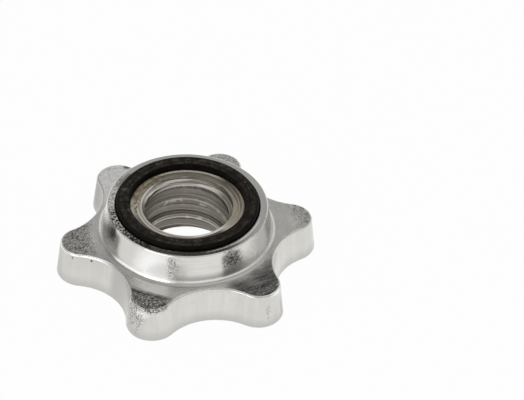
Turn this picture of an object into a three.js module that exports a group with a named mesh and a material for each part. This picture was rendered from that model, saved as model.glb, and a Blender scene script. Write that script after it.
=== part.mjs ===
// Star collar for a threaded training bar: a six-lobed iron nut with a rubber ring set in its face.
// A right-hand thread runs through the nut, and the front end of its bore carries a flat lip.
// Millimetres, +Z up. The origin is the centre of the back face, and +Z runs along the bore
// towards the weight plates that the rubber ring presses on.

import * as THREE from 'three';

// Threaded bore
const BORE_RADIUS = 11.7; // at the crest of the thread
const THREAD_PITCH = 5.5;
const THREAD_DEPTH = 1.05;
const THREAD_CREST = 1.6; // width of the flat crest
const THREAD_FLANK = 0.8; // width that each flank takes along the bore
const CREST_HEIGHT = 5.66; // of the middle of one crest
const CREST_BEARING = 76; // at which that crest has that height, in degrees
const FRONT_CHAMFER_SPARE = 0.05; // how much deeper than the thread the chamfer at the lip is
const BACK_CHAMFER_SPARE = 0.95; // how much deeper than the thread the chamfer at the back face is

// Lip round the front of the bore
const LIP_WIDTH = 3.2; // flat of the lip, from the chamfer to the groove
const LIP_DROP = 0.6; // the lip stays this far below the rim

// Rubber ring, and the groove that holds it
const GROOVE_CLEARANCE = 0.1; // between the ring and each wall of its groove
const GROOVE_CHAMFER = 0.35;
const RING_WIDTH = 3.8;
const RING_HEIGHT = 4.0;
const RING_STAND = 1.3; // how far it stands proud of the rim
const RING_OUTER_ROUND = 0.8;
const RING_INNER_ROUND = 0.35;

// Boss
const RIM_WIDTH = 2.4; // from the groove to the outside of the rim
const RIM_ROUND = 0.45;
const BOSS_HEIGHT = 9.1; // from the lobe ends up to the rim
const BOSS_LEAN = 1.6; // how much wider the boss is at its foot than at its rim
const FOOT_FILLET = 1.5;

// Star plate, measured at its back face
const LOBES = 6;
const LOBE_LENGTH = 13.0; // from the boss's foot to the end of a lobe
const TIP_RADIUS = 7.3; // round end of a lobe
const FOOT_LEDGE = 0.05; // flat left in a finger hollow, between the foot's fillet and the edge
const PLATE_EDGE = 10.7; // thickness at the lobe ends
const SIDE_LEAN = 1.25; // how far the cast side leans in from back to front
const CROWN_RISE = 0.3; // how much the front face climbs from the lobe ends to the boss
const BACK_ROUND = 0.9;
const FRONT_ROUND = 0.6;

// Facets
const TIP_STEPS = 12;
const VALLEY_STEPS = 10;
const ROUND_STEPS = 3;
const RING_STEPS = 96;

// Sizes that follow from those above, from the bore outwards and from the back face up
const LIP_CHAMFER = THREAD_DEPTH + FRONT_CHAMFER_SPARE;
const BACK_CHAMFER = THREAD_DEPTH + BACK_CHAMFER_SPARE;
const GROOVE_INNER_RADIUS = BORE_RADIUS + LIP_CHAMFER + LIP_WIDTH;
const RING_INNER_RADIUS = GROOVE_INNER_RADIUS + GROOVE_CLEARANCE;
const RING_OUTER_RADIUS = RING_INNER_RADIUS + RING_WIDTH;
const GROOVE_OUTER_RADIUS = RING_OUTER_RADIUS + GROOVE_CLEARANCE;
const RIM_RADIUS = GROOVE_OUTER_RADIUS + RIM_WIDTH;
const FOOT_RADIUS = RIM_RADIUS + BOSS_LEAN;
const VALLEY_REACH = FOOT_RADIUS + FOOT_FILLET + FOOT_LEDGE + FRONT_ROUND + SIDE_LEAN;
const TIP_REACH = FOOT_RADIUS + LOBE_LENGTH;
const RIM_HEIGHT = PLATE_EDGE + BOSS_HEIGHT;
const LIP_HEIGHT = RIM_HEIGHT - LIP_DROP;
const GROOVE_FLOOR = RIM_HEIGHT + RING_STAND - RING_HEIGHT;
const LOBE_ANGLE = (2 * Math.PI) / LOBES;
const FULL_TURN = 360; // in degrees

function chromedIron() {
  return new THREE.MeshStandardMaterial({ color: 0xc9c9c4, roughness: 0.25, metalness: 1.0 });
}

function blackRubber() {
  return new THREE.MeshStandardMaterial({ color: 0x25211e, roughness: 0.55, metalness: 0.0 });
}

// Points of the arc that rounds the corner of a profile, from the side of before to the side of after.
function roundCorner(before, corner, after, radius) {
  const back = before.clone().sub(corner).normalize();
  const ahead = after.clone().sub(corner).normalize();
  const halfAngle = Math.acos(back.dot(ahead)) / 2;
  const towardsCentre = back.clone().add(ahead).normalize();
  const centre = corner.clone().addScaledVector(towardsCentre, radius / Math.sin(halfAngle));
  const tangent = radius / Math.tan(halfAngle);
  const start = corner.clone().addScaledVector(back, tangent).sub(centre);
  const end = corner.clone().addScaledVector(ahead, tangent).sub(centre);
  const turn = Math.atan2(start.cross(end), start.dot(end));
  const origin = new THREE.Vector2();
  const points = [];
  for (let step = 0; step <= ROUND_STEPS; step += 1) {
    points.push(start.clone().rotateAround(origin, (turn * step) / ROUND_STEPS).add(centre));
  }
  return points;
}

function arcPoints(centre, radius, fromAngle, toAngle, steps) {
  const points = [];
  for (let step = 0; step < steps; step += 1) {
    const angle = fromAngle + ((toAngle - fromAngle) * step) / steps;
    const arm = new THREE.Vector2(Math.cos(angle), Math.sin(angle)).multiplyScalar(radius);
    points.push(arm.add(centre));
  }
  return points;
}

// Outline of the star, drawn in by inset all round. Each finger hollow is the arc that touches the
// round ends of its two lobes and comes down to VALLEY_REACH between them.
function starOutline(inset) {
  const axis = new THREE.Vector2();
  const halfPitch = LOBE_ANGLE / 2;
  const tipCentre = new THREE.Vector2(TIP_REACH - TIP_RADIUS, 0);
  const valleyFloor = new THREE.Vector2(VALLEY_REACH, 0).rotateAround(axis, halfPitch);
  const overlap = TIP_RADIUS + tipCentre.x * Math.cos(halfPitch) - VALLEY_REACH;
  const valleyRadius = (tipCentre.distanceToSquared(valleyFloor) - TIP_RADIUS ** 2) / (2 * overlap);
  const valleyCentre = valleyFloor.clone().setLength(VALLEY_REACH + valleyRadius);
  const meeting = valleyCentre.clone().sub(tipCentre).angle();
  const valleyStart = meeting + Math.PI;
  const valleyEnd = valleyStart - 2 * (meeting - halfPitch);
  const lobe = [
    ...arcPoints(tipCentre, TIP_RADIUS - inset, -meeting, meeting, TIP_STEPS),
    ...arcPoints(valleyCentre, valleyRadius + inset, valleyStart, valleyEnd, VALLEY_STEPS),
  ];
  const outline = [];
  for (let index = 0; index < LOBES; index += 1) {
    outline.push(...lobe.map((point) => point.clone().rotateAround(axis, index * LOBE_ANGLE)));
  }
  return outline;
}

// Height of the front face, a shallow cone that falls from the boss to the lobe ends.
function frontHeight(radius) {
  const edgeReach = TIP_REACH - SIDE_LEAN;
  return PLATE_EDGE + (CROWN_RISE * (edgeReach - radius)) / (edgeReach - FOOT_RADIUS);
}

// Side of the plate as points (inset, height), from the back face to the front face.
function sideProfile() {
  const backFace = new THREE.Vector2(TIP_RADIUS, 0);
  const backCorner = new THREE.Vector2(0, 0);
  const frontCorner = new THREE.Vector2(SIDE_LEAN, PLATE_EDGE);
  const frontFace = new THREE.Vector2(TIP_RADIUS, PLATE_EDGE);
  return [
    ...roundCorner(backFace, backCorner, frontCorner, BACK_ROUND),
    ...roundCorner(backCorner, frontCorner, frontFace, FRONT_ROUND),
  ];
}

// Everything that is round, as points (radius, height), from the foot of the boss to the lip's inner edge.
function turnedProfile() {
  const plateFace = new THREE.Vector2(TIP_REACH, frontHeight(TIP_REACH));
  const foot = new THREE.Vector2(FOOT_RADIUS, frontHeight(FOOT_RADIUS));
  const rim = new THREE.Vector2(RIM_RADIUS, RIM_HEIGHT);
  const rimInside = new THREE.Vector2(GROOVE_OUTER_RADIUS + GROOVE_CHAMFER, RIM_HEIGHT);
  return [
    ...roundCorner(plateFace, foot, rim, FOOT_FILLET),
    ...roundCorner(foot, rim, rimInside, RIM_ROUND),
    rimInside,
    new THREE.Vector2(GROOVE_OUTER_RADIUS, RIM_HEIGHT - GROOVE_CHAMFER),
    new THREE.Vector2(GROOVE_OUTER_RADIUS, GROOVE_FLOOR),
    new THREE.Vector2(GROOVE_INNER_RADIUS, GROOVE_FLOOR),
    new THREE.Vector2(GROOVE_INNER_RADIUS, LIP_HEIGHT),
    new THREE.Vector2(BORE_RADIUS + LIP_CHAMFER, LIP_HEIGHT),
  ];
}

// Corners of the thread along one bearing, as points (radius, height), from above the lip to below the
// back face.
function threadCorners(bearing) {
  const rootRadius = BORE_RADIUS + THREAD_DEPTH;
  const halfCrest = THREAD_CREST / 2;
  const lead = bearing / (2 * Math.PI) - CREST_BEARING / FULL_TURN;
  const lastTurn = Math.ceil((LIP_HEIGHT - CREST_HEIGHT) / THREAD_PITCH - lead);
  const firstTurn = Math.floor(-CREST_HEIGHT / THREAD_PITCH - lead);
  const corners = [];
  for (let turn = lastTurn; turn >= firstTurn; turn -= 1) {
    const crest = CREST_HEIGHT + THREAD_PITCH * (turn + lead);
    corners.push(
      new THREE.Vector2(rootRadius, crest + halfCrest + THREAD_FLANK),
      new THREE.Vector2(BORE_RADIUS, crest + halfCrest),
      new THREE.Vector2(BORE_RADIUS, crest - halfCrest),
      new THREE.Vector2(rootRadius, crest - halfCrest - THREAD_FLANK),
    );
  }
  return corners;
}

// Wall of the bore along one bearing, from chamfer to chamfer: what they leave of the thread.
function boreWall(bearing) {
  const chamfered = (height) => BORE_RADIUS + Math.max(
    LIP_CHAMFER - (LIP_HEIGHT - height),
    BACK_CHAMFER - height,
  );
  const corners = threadCorners(bearing);
  const depths = corners.map((corner) => corner.x - chamfered(corner.y));
  const wall = [];
  corners.forEach((corner, index) => {
    const before = index - 1;
    if (index > 0 && depths[before] * depths[index] < 0) {
      const share = depths[before] / (depths[before] - depths[index]);
      wall.push(corners[before].clone().lerp(corner, share));
    }
    if (depths[index] > 0) {
      wall.push(corner);
    }
  });
  return wall;
}

function atBearing({ x: radius, y: height }, bearing) {
  return new THREE.Vector3(radius * Math.cos(bearing), radius * Math.sin(bearing), height);
}

// Triangles between two rings of count points each, given by the index of each ring's first point.
function bandBetween(here, above, count) {
  const indices = [];
  for (let index = 0; index < count; index += 1) {
    const next = (index + 1) % count;
    indices.push(here + index, here + next, above + next);
    indices.push(here + index, above + next, above + index);
  }
  return indices;
}

// Triangles between two columns of points that run down side by side and may differ in number.
function zipColumns(left, right, points) {
  const indices = [];
  let leftStep = 0;
  let rightStep = 0;
  while (leftStep + 1 < left.length || rightStep + 1 < right.length) {
    const leftNext = left[leftStep + 1];
    const rightNext = right[rightStep + 1];
    const stepsRight = leftNext === undefined
      || (rightNext !== undefined && points[rightNext].z >= points[leftNext].z);
    indices.push(left[leftStep], right[rightStep], stepsRight ? rightNext : leftNext);
    leftStep += stepsRight ? 0 : 1;
    rightStep += stepsRight ? 1 : 0;
  }
  return indices;
}

// Closed skin: rings of equal point counts from the bore's back edge round the outside to its front
// edge, and a column of points down each wall of the bore.
function loftNut(rings, walls) {
  const count = walls.length;
  const frontEdge = (rings.length - 1) * count;
  const points = rings.flat();
  const indices = rings.slice(1).flatMap((ring, row) => (
    bandBetween(row * count, (row + 1) * count, count)
  ));
  const columns = walls.map((wall, index) => {
    const column = [frontEdge + index, ...wall.map((point, step) => points.length + step), index];
    points.push(...wall);
    return column;
  });
  columns.forEach((column, index) => {
    indices.push(...zipColumns(column, columns[(index + 1) % count], points));
  });
  const geometry = new THREE.BufferGeometry().setFromPoints(points);
  geometry.setIndex(indices);
  return geometry;
}

// The nut: its flat back, lobed rings up the drafted side, round rings over the boss, groove and lip, and
// the threaded bore.
function starNut() {
  const side = sideProfile();
  const edge = starOutline(side[side.length - 1].x);
  const bearings = edge.map((point) => point.angle());
  const lobedRings = side.map(({ x: inset, y: height }) => {
    const share = height / PLATE_EDGE;
    return starOutline(inset).map((point, index) => {
      const rise = frontHeight(edge[index].length()) - PLATE_EDGE;
      return new THREE.Vector3(point.x, point.y, height + share * rise);
    });
  });
  const backEdge = new THREE.Vector2(BORE_RADIUS + BACK_CHAMFER, 0);
  const roundRing = (spot) => bearings.map((bearing) => atBearing(spot, bearing));
  const rings = [roundRing(backEdge), ...lobedRings, ...turnedProfile().map(roundRing)];
  const walls = bearings.map((bearing) => boreWall(bearing).map((spot) => atBearing(spot, bearing)));
  const nut = new THREE.Mesh(loftNut(rings, walls), chromedIron());
  nut.name = 'star_nut';
  return nut;
}

// The ring: a square section with soft front edges, turned round the bore and seated on the groove's floor.
function rubberRing() {
  const outerFoot = new THREE.Vector2(RING_OUTER_RADIUS, 0);
  const outerEdge = new THREE.Vector2(RING_OUTER_RADIUS, RING_HEIGHT);
  const innerEdge = new THREE.Vector2(RING_INNER_RADIUS, RING_HEIGHT);
  const innerFoot = new THREE.Vector2(RING_INNER_RADIUS, 0);
  const section = [
    outerFoot,
    ...roundCorner(outerFoot, outerEdge, innerEdge, RING_OUTER_ROUND),
    ...roundCorner(outerEdge, innerEdge, innerFoot, RING_INNER_ROUND),
    innerFoot,
    outerFoot,
  ];
  const ring = new THREE.Mesh(new THREE.LatheGeometry(section, RING_STEPS), blackRubber());
  ring.name = 'rubber_ring';
  ring.rotation.x = Math.PI / 2;
  ring.position.z = GROOVE_FLOOR;
  return ring;
}

const collar = new THREE.Group();
collar.add(starNut(), rubberRing());

export default collar;
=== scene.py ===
"""Looks of a star collar: a six-lobed plated iron nut with a rubber ring in its face.

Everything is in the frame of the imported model: the origin is the centre of the back face, and
+Z runs along the bore towards the weight plates. The meshes and the studio are in metres, the
places and layers of the finishes in millimetres. Bearings run round the bore from +X, which goes
through the middle of one lobe, and are in degrees.
"""

import logging
import math
from dataclasses import dataclass
from enum import Enum
from typing import Optional, Protocol, Union

import bmesh
import bpy
import numpy as np
from mathutils import Matrix, Vector, noise


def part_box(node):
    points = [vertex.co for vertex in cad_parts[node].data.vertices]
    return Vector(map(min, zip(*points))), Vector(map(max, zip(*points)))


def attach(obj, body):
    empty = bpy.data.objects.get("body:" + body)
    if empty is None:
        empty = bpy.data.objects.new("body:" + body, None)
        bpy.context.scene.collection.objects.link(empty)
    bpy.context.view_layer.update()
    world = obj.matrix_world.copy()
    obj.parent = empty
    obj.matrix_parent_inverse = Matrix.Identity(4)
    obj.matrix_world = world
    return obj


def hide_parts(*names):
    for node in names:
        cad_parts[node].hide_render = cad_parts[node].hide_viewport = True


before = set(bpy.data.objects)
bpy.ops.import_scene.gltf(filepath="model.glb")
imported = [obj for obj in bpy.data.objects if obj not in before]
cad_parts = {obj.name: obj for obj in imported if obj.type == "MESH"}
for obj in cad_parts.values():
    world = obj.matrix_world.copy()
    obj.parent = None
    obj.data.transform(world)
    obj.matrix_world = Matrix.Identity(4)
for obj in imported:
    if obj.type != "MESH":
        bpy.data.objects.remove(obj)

MM = 0.001
ROOT = "root"
SHARP_DEGREES = 28.0
MERGE_DISTANCE = 0.0005 * MM
WANDER = "wander"

# The thread, and where the middle of one crest stands
THREAD_PITCH = 5.5 * MM
THREAD_CREST_HEIGHT = 5.66 * MM
THREAD_CREST_BEARING = 76.0

# The bearing of each lobe, and half the angle that a lobe's end takes up
RIGHT_LOBE, BACK_RIGHT_LOBE, BACK_LEFT_LOBE, LEFT_LOBE, FRONT_LOBE, FRONT_RIGHT_LOBE = range(0, 360, 60)
LOBE_HALF_WIDTH = 20.0

# The sockets of a Mix node: its factor, the two numbers, the two colours, and the mixed colour
MIX_FACTOR = 0
FIRST_NUMBER = 2
SECOND_NUMBER = 3
FIRST_COLOUR = 6
SECOND_COLOUR = 7
MIXED_COLOUR = 2

# The level about which a noise texture varies
NOISE_MIDDLE = 0.5

# The noise of a tool's lines: where a line starts and is full, and how strong the finer octaves are
LINE_START = 0.60
LINE_FULL = 0.40
LINE_ROUGH = 0.6

Colour = tuple[float, float, float]
Place = tuple[float, float, float]
Value = Union["Socket", float]
Tint = Union["Socket", Colour]
Length = Union[float, np.ndarray]

WHITE: Colour = (1.0, 1.0, 1.0)

# Plating, from the brightest to the darkest. The brightest is only painted highlight; some of the others
# paint light and shade in places, as the finishes note.
PAINTED_HIGHLIGHT: Colour = (0.96, 0.955, 0.94)
BRIGHT_PLATING: Colour = (0.80, 0.79, 0.755)
PLATING: Colour = (0.675, 0.667, 0.630)
DIM_PLATING: Colour = (0.52, 0.51, 0.485)
DULL_PLATING: Colour = (0.50, 0.49, 0.465)
OLIVE_PLATING: Colour = (0.41, 0.375, 0.30)
GREY_PLATING: Colour = (0.39, 0.385, 0.365)
SMOKY_PLATING: Colour = (0.20, 0.197, 0.185)
# Dark cast skin, and painted shade
DARK_SKIN_AND_SHADE: Colour = (0.105, 0.103, 0.096)
BLACK_PLATING: Colour = (0.055, 0.054, 0.050)
PIT: Colour = (0.03, 0.028, 0.025)

# Worked metal on the lip and in the bore. The brightest is painted highlight on the lip's inner edge, and the
# worn metal is wear and painted highlight along edges in the bore.
PAINTED_LIP_HIGHLIGHT: Colour = (0.90, 0.88, 0.84)
WORN_METAL_AND_HIGHLIGHT: Colour = (0.77, 0.735, 0.675)
CHAMFER_METAL: Colour = (0.34, 0.32, 0.285)
ROOT_METAL: Colour = (0.275, 0.254, 0.224)
THREAD_METAL: Colour = (0.265, 0.243, 0.213)
DUSKY_METAL: Colour = (0.205, 0.186, 0.162)
CREST_METAL: Colour = (0.152, 0.139, 0.121)
SHADED_METAL: Colour = (0.10, 0.093, 0.084)

# Films of dried oil and dirt. The groove's film is dirt and painted shade, and two dark films on the lip are
# only painted shade.
MILKY_FILM: Colour = (0.92, 0.86, 0.79)
CREAM_FILM: Colour = (0.94, 0.84, 0.66)
PALE_FILM: Colour = (0.88, 0.82, 0.72)
TAN_FILM: Colour = (0.66, 0.61, 0.52)
STRAW_FILM: Colour = (0.62, 0.53, 0.36)
SANDY_FILM: Colour = (0.60, 0.53, 0.41)
OLIVE_FILM: Colour = (0.33, 0.28, 0.21)
AMBER_FILM: Colour = (0.22, 0.175, 0.10)
UMBER_FILM: Colour = (0.13, 0.11, 0.085)
PAINTED_RING_SHADOW: Colour = (0.11, 0.092, 0.07)
BROWN_FILM: Colour = (0.085, 0.068, 0.048)
PAINTED_LIP_SHADE: Colour = (0.05, 0.046, 0.04)
GROOVE_DIRT_AND_SHADE: Colour = (0.012, 0.010, 0.008)

# Rubber, and the dust on it
PALE_DUST: Colour = (0.24, 0.21, 0.17)
DUST: Colour = (0.16, 0.14, 0.11)
RUBBED_DUST: Colour = (0.088, 0.072, 0.054)
BROWN_RUBBER: Colour = (0.040, 0.028, 0.017)
DUSTY_RUBBER: Colour = (0.022, 0.016, 0.011)
DULL_RUBBER: Colour = (0.004, 0.0035, 0.003)
LINED_RUBBER: Colour = (0.004, 0.004, 0.003)
GRAINY_RUBBER: Colour = (0.003, 0.003, 0.0025)
BLACK_RUBBER: Colour = (0.0010, 0.0009, 0.0008)

log = logging.getLogger("collar")


class Socket:
    """One output of a shader node. Python's operators on it add Math nodes."""

    def __init__(self, graph: "Graph", link: Optional[bpy.types.NodeSocket]) -> None:
        """Wraps an output of a node in a graph."""
        self.graph = graph
        self.link = link

    def _math(self, operation: str, first: Value, second: Value) -> "Socket":
        """Adds a Math node on two values."""
        return self.graph.node("ShaderNodeMath", {"operation": operation}, {0: first, 1: second})

    def __add__(self, other: Value) -> "Socket":
        """Sum."""
        return self._math("ADD", self, other)

    __radd__ = __add__

    def __sub__(self, other: Value) -> "Socket":
        """Difference."""
        return self._math("SUBTRACT", self, other)

    def __rsub__(self, other: Value) -> "Socket":
        """Difference, with this socket on the right."""
        return self._math("SUBTRACT", other, self)

    def __mul__(self, other: Value) -> "Socket":
        """Product."""
        return self._math("MULTIPLY", self, other)

    __rmul__ = __mul__

    def __truediv__(self, other: Value) -> "Socket":
        """Quotient."""
        return self._math("DIVIDE", self, other)

    def __rtruediv__(self, other: Value) -> "Socket":
        """Quotient, with this socket as the divisor."""
        return self._math("DIVIDE", other, self)

    def __pow__(self, other: Value) -> "Socket":
        """Power."""
        return self._math("POWER", self, other)

    def __rpow__(self, other: Value) -> "Socket":
        """Power, with this socket as the exponent."""
        return self._math("POWER", other, self)

    def larger(self, other: Value) -> "Socket":
        """The larger of two values."""
        return self._math("MAXIMUM", self, other)


class Graph:
    """A node tree that is filled in by expressions."""

    def __init__(self, tree: bpy.types.NodeTree) -> None:
        """Empties the tree and starts on it."""
        self.tree = tree
        tree.nodes.clear()

    def node(
        self,
        kind: str,
        settings: Optional[dict[str, object]] = None,
        inputs: Optional[dict[Union[int, str], object]] = None,
        output: Union[int, str] = 0,
    ) -> Socket:
        """Adds any node.

        Args:
            kind: The node's type.
            settings: Its properties, which are set first.
            inputs: Values or links by the index or name of the socket.
            output: The index or name of the output to return.

        Returns:
            The wrapped output, which is empty on a node that has none.
        """
        made = self.tree.nodes.new(kind)
        for name, value in (settings or {}).items():
            setattr(made, name, value)
        for key, value in (inputs or {}).items():
            if isinstance(value, Socket):
                self.tree.links.new(value.link, made.inputs[key])
            else:
                made.inputs[key].default_value = value
        return Socket(self, made.outputs[output] if made.outputs else None)

    def step(self, value: Value, low: float, high: float) -> Socket:
        """A smooth rise of a value.

        Args:
            value: The value to look at.
            low: Where the result is 0.
            high: Where the result is 1. It may lie below low.

        Returns:
            From 0 to 1.
        """
        ends = {"Value": value, "From Min": low, "From Max": high}
        return self.node("ShaderNodeMapRange", {"interpolation_type": "SMOOTHSTEP"}, ends)

    def blend(self, share: Value, first: Tint, second: Tint) -> Socket:
        """Mixes two colours.

        Args:
            share: How much of the second colour is in the mix.
            first: One colour.
            second: The other colour.

        Returns:
            The mixed colour.
        """
        colours = {MIX_FACTOR: share, FIRST_COLOUR: opaque(first), SECOND_COLOUR: opaque(second)}
        return self.node("ShaderNodeMix", {"data_type": "RGBA"}, colours, MIXED_COLOUR)

    def between(self, share: Value, first: Value, second: Value) -> Socket:
        """Mixes two values by a share of the second."""
        numbers = {MIX_FACTOR: share, FIRST_NUMBER: first, SECOND_NUMBER: second}
        return self.node("ShaderNodeMix", {}, numbers)

    def join(self, x: Value, y: Value, z: Value) -> Socket:
        """A place from its three coordinates."""
        return self.node("ShaderNodeCombineXYZ", {}, {"X": x, "Y": y, "Z": z})

    def speckle(self, place: Socket, size: float, detail: float = 2.0, rough: float = 0.5) -> Socket:
        """Noise.

        Args:
            place: Where the noise is read.
            size: About how wide its features are, in millimetres.
            detail: How many finer octaves it has.
            rough: How strong those are.

        Returns:
            From 0 to 1, and mostly near the middle.
        """
        values = {"Vector": place, "Scale": 1 / (size * MM), "Detail": detail, "Roughness": rough}
        return self.node("ShaderNodeTexNoise", {}, values)


def opaque(tint: Tint) -> Union[Socket, tuple[float, ...]]:
    """A colour as the four numbers that a socket takes. A link stays as it is."""
    return tint if isinstance(tint, Socket) else (*tint, 1.0)


def metres(place: Place) -> Place:
    """A place in metres, from one in millimetres."""
    return tuple(number * MM for number in place)


def empty_material(name: str) -> tuple[bpy.types.Material, Graph]:
    """Makes a material with nothing in it.

    Args:
        name: The material's name.

    Returns:
        The material, and its node tree to be filled in.
    """
    material = bpy.data.materials.new(name)
    material.use_nodes = True
    return material, Graph(material.node_tree)


def linked_object(name: str, data: bpy.types.ID) -> bpy.types.Object:
    """Makes an object and puts it into the scene.

    Args:
        name: The object's name.
        data: Its mesh, lamp or camera.

    Returns:
        The object.
    """
    made = bpy.data.objects.new(name, data)
    bpy.context.scene.collection.objects.link(made)
    return made


def turned_towards(azimuth: float, elevation: float) -> Matrix:
    """Turns what looks down its own Z axis, as lamps and cameras do, so that it looks from a direction.

    Args:
        azimuth: The direction round the bore, from -Y, in degrees.
        elevation: The direction's height above the floor, in degrees.

    Returns:
        The turn.
    """
    turn = Matrix.Rotation(math.radians(azimuth), 4, "Z")
    return turn @ Matrix.Rotation(math.radians(90 - elevation), 4, "X")


class Surface:
    """A surface while its finish is laid on: where its points are, and how they look so far."""

    def __init__(self, graph: Graph, colour: Colour, roughness: float, metallic: float) -> None:
        """Starts on an even surface.

        Args:
            graph: The material's node tree.
            colour: The bare colour.
            roughness: The bare roughness.
            metallic: How far it is metal.
        """
        self.graph = graph
        self.place = graph.node("ShaderNodeTexCoord", output="Object")
        self.x, self.y, self.height = (
            graph.node("ShaderNodeSeparateXYZ", {}, {"Vector": self.place}, axis) for axis in "XYZ"
        )
        self.radius = (self.x * self.x + self.y * self.y) ** 0.5
        self.colour: Tint = colour
        self.roughness: Value = roughness
        self.metallic: Value = metallic
        self.relief: Value = 0.0

    def towards(self, bearing: float) -> Socket:
        """How far each point lies along a bearing."""
        return self.x * math.cos(math.radians(bearing)) + self.y * math.sin(math.radians(bearing))

    def wander(self, reach: float, grain: float) -> Socket:
        """A random shift, which makes a straight border ragged.

        Args:
            reach: How far it goes to either side at most, in the unit of what is shifted.
            grain: About how wide its bays are, in millimetres.

        Returns:
            The shift at each point.
        """
        return 2 * reach * (self.graph.speckle(self.place, grain) - NOISE_MIDDLE)

    def tint(self, share: Value, colour: Tint) -> None:
        """Mixes a share of another colour over what is there."""
        self.colour = self.graph.blend(share, self.colour, colour)

    def roughen(self, share: Value, roughness: Value) -> None:
        """Mixes a share of another roughness over what is there."""
        self.roughness = self.graph.between(share, self.roughness, roughness)

    def cover(self, share: Value) -> None:
        """Lays something that isn't metal over a share of what is there."""
        self.metallic = self.graph.between(share, self.metallic, 0.0)

    def raise_by(self, millimetres: Socket) -> None:
        """Adds to the height of the relief, in millimetres."""
        self.relief = millimetres + self.relief


class Where:
    """Says how strongly a layer shows at each point. Places combine as a & b and as a | b."""

    def mask(self, surface: Surface) -> Value:
        """From 0, nothing, to 1, all of it."""
        raise NotImplementedError

    def __and__(self, other: "Where") -> "Overlap":
        """Where both places are."""
        return Overlap(self, other)

    def __or__(self, other: "Where") -> "Either":
        """Where one place or the other is."""
        return Either(self, other)


@dataclass(frozen=True)
class Overlap(Where):
    """Where two places overlap."""

    first: Where
    second: Where

    def mask(self, surface: Surface) -> Value:
        """The product of their masks."""
        return self.first.mask(surface) * self.second.mask(surface)


@dataclass(frozen=True)
class Either(Where):
    """The stronger of two places."""

    first: Where
    second: Where

    def mask(self, surface: Surface) -> Value:
        """The larger of their masks."""
        first = self.first.mask(surface)
        return self.second.mask(surface).larger(first)


@dataclass(frozen=True)
class Everywhere(Where):
    """The whole surface, to one strength."""

    strength: float = 1.0

    def mask(self, surface: Surface) -> Value:
        """The strength itself."""
        return self.strength


@dataclass(frozen=True)
class Outwards(Where):
    """Fades in from one radius to another, along a ragged line."""

    start: float
    full: float
    strength: float = 1.0
    ragged: float = 1.2
    grain: float = 1.6

    def mask(self, surface: Surface) -> Value:
        """The fade along the radius."""
        radius = surface.radius + surface.wander(self.ragged * MM, self.grain)
        return self.strength * surface.graph.step(radius, self.start * MM, self.full * MM)


@dataclass(frozen=True)
class Upwards(Where):
    """Fades in from one height to another, along a ragged line."""

    start: float
    full: float
    strength: float = 1.0
    ragged: float = 0.2
    grain: float = 1.6

    def mask(self, surface: Surface) -> Value:
        """The fade along the height."""
        height = surface.height + surface.wander(self.ragged * MM, self.grain)
        return self.strength * surface.graph.step(height, self.start * MM, self.full * MM)


@dataclass(frozen=True)
class Band(Where):
    """A ring between two radii, with soft edges outside them."""

    inner: float
    outer: float
    fade: float = 0.2
    strength: float = 1.0

    def mask(self, surface: Surface) -> Value:
        """Full between the two radii.

        Args:
            surface: The surface that is looked at.

        Returns:
            From 0 to 1.
        """
        graph = surface.graph
        outside = graph.step(surface.radius, (self.inner - self.fade) * MM, self.inner * MM)
        inside = graph.step(surface.radius, (self.outer + self.fade) * MM, self.outer * MM)
        return self.strength * outside * inside


@dataclass(frozen=True)
class Sector(Where):
    """A part of the way round the bore, in degrees, with soft ends."""

    bearing: float
    half_width: float
    fade: float = 12.0
    strength: float = 1.0

    def mask(self, surface: Surface) -> Value:
        """Full within half a width of the bearing.

        Args:
            surface: The surface that is looked at.

        Returns:
            From 0 to 1.
        """
        cosine = surface.towards(self.bearing) / surface.radius
        end = math.cos(math.radians(self.half_width + self.fade))
        return self.strength * surface.graph.step(cosine, end, math.cos(math.radians(self.half_width)))


@dataclass(frozen=True)
class Spot(Where):
    """A blotch with a soft ragged border round one point.

    It is full out to a share of its reach, and ragged by another share of it.
    """

    centre: Place
    reach: Place
    strength: float = 1.0
    ragged: float = 0.35
    grain: float = 1.0
    full: float = 0.25

    def mask(self, surface: Surface) -> Value:
        """The blotch, from its middle to its border.

        Args:
            surface: The surface that is looked at.

        Returns:
            From 0 to 1.
        """
        graph = surface.graph
        ends = {0: surface.place, 1: metres(self.centre)}
        away = graph.node("ShaderNodeVectorMath", {"operation": "SUBTRACT"}, ends)
        shares = graph.node("ShaderNodeVectorMath", {"operation": "DIVIDE"}, {0: away, 1: metres(self.reach)})
        distance = graph.node("ShaderNodeVectorMath", {"operation": "LENGTH"}, {0: shares}, "Value")
        return self.strength * graph.step(distance + surface.wander(self.ragged, self.grain), 1.0, self.full)


@dataclass(frozen=True)
class AlongThread(Where):
    """A strip that winds along the thread, between two shares of a turn above a crest's middle."""

    low: float
    high: float
    strength: float = 1.0
    fade: float = 0.03
    ragged: float = 0.03
    grain: float = 1.5

    def mask(self, surface: Surface) -> Value:
        """Full between the two shares of a turn.

        Args:
            surface: The surface that is looked at.

        Returns:
            From 0 to 1.
        """
        graph = surface.graph
        bearing = graph.node("ShaderNodeMath", {"operation": "ARCTAN2"}, {0: surface.y, 1: surface.x})
        start = THREAD_CREST_HEIGHT / THREAD_PITCH - THREAD_CREST_BEARING / 360
        turns = surface.height / THREAD_PITCH - bearing / (2 * math.pi) - start
        ragged_turns = turns + surface.wander(self.ragged, self.grain)
        share = graph.node("ShaderNodeMath", {"operation": "FRACT"}, {0: ragged_turns})
        above = graph.step(share, self.low - self.fade, self.low)
        below = graph.step(share, self.high + self.fade, self.high)
        return self.strength * above * below


def lobe_end(bearing: float, start: float, full: float, strength: float = 1.0) -> Where:
    """The outer part of the lobe at a bearing, from one radius on."""
    return Outwards(start, full) & Sector(bearing, LOBE_HALF_WIDTH, strength=strength)


class Layer(Protocol):
    """One thing that a finish shows."""

    def lay(self, surface: Surface) -> None:
        """Adds itself to the surface."""


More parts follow.
